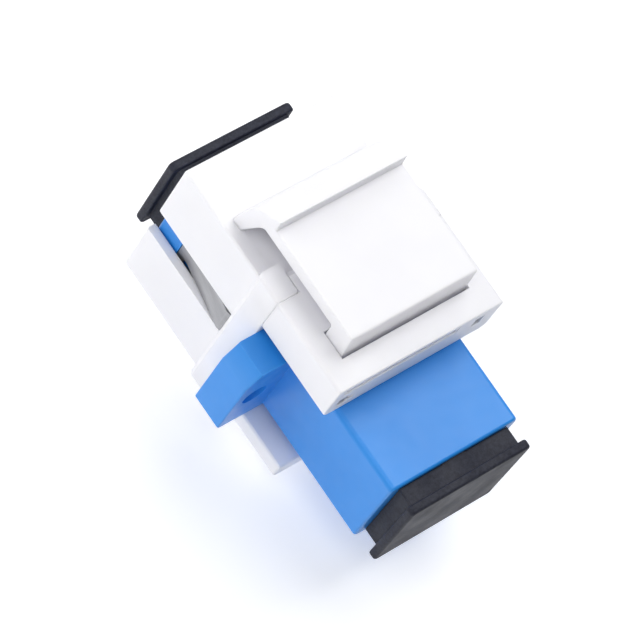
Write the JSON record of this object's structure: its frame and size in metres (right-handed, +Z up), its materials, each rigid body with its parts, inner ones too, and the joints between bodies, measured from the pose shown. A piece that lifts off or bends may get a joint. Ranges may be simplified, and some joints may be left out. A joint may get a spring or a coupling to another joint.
{
  "type": "sc fibre adapter",
  "caption": "Keystone coupler joining SC fibre connectors through an aligned sleeve, with a pressed latch for a panel opening and pull-out dust caps.",
  "frame": {"origin": "on the fibre axis, in the plane where the flange seats against the rear of the panel wall", "axes": "+Y along the fibre axis towards the rear of the panel, +Z up to the latch side, X across the flange ears"},
  "size_m": [0.022, 0.0335, 0.0237],
  "materials": {
    "blue_housing": "moulded, fine satin",
    "white_shell": "moulded, satin white",
    "spring_steel": "rolled sheet",
    "dark_cap": "fine mottled matt",
    "insert_resin": "moulded",
    "zirconia": "ground"
  },
  "bodies": {
    "housing": {"adapter_body": "blue_housing", "retaining_clip": "spring_steel", "front_frame": "white_shell", "rear_cover": "white_shell", "latch_insert_front": "insert_resin", "latch_insert_rear": "insert_resin", "split_sleeve": "zirconia"},
    "latch": {"latch_tab": "white_shell"},
    "front_cap": {"dust_cap_front": "dark_cap"},
    "rear_cap": {"dust_cap_rear": "dark_cap"}
  },
  "joints": [
    {"name": "latch_hinge", "type": "hinge", "parent": "housing", "child": "latch", "pos_m": [0, -0.0074, 0.0081], "axis": [-1, 0, 0], "range_deg": [0, 5.5], "stiffness_Nm_per_rad": 0.15},
    {"name": "front_cap_slide", "type": "slide", "parent": "housing", "child": "front_cap", "axis": [0, -1, 0], "range_m": [0, 0.03]},
    {"name": "rear_cap_slide", "type": "slide", "parent": "housing", "child": "rear_cap", "axis": [0, 1, 0], "range_m": [0, 0.03]}
  ]
}
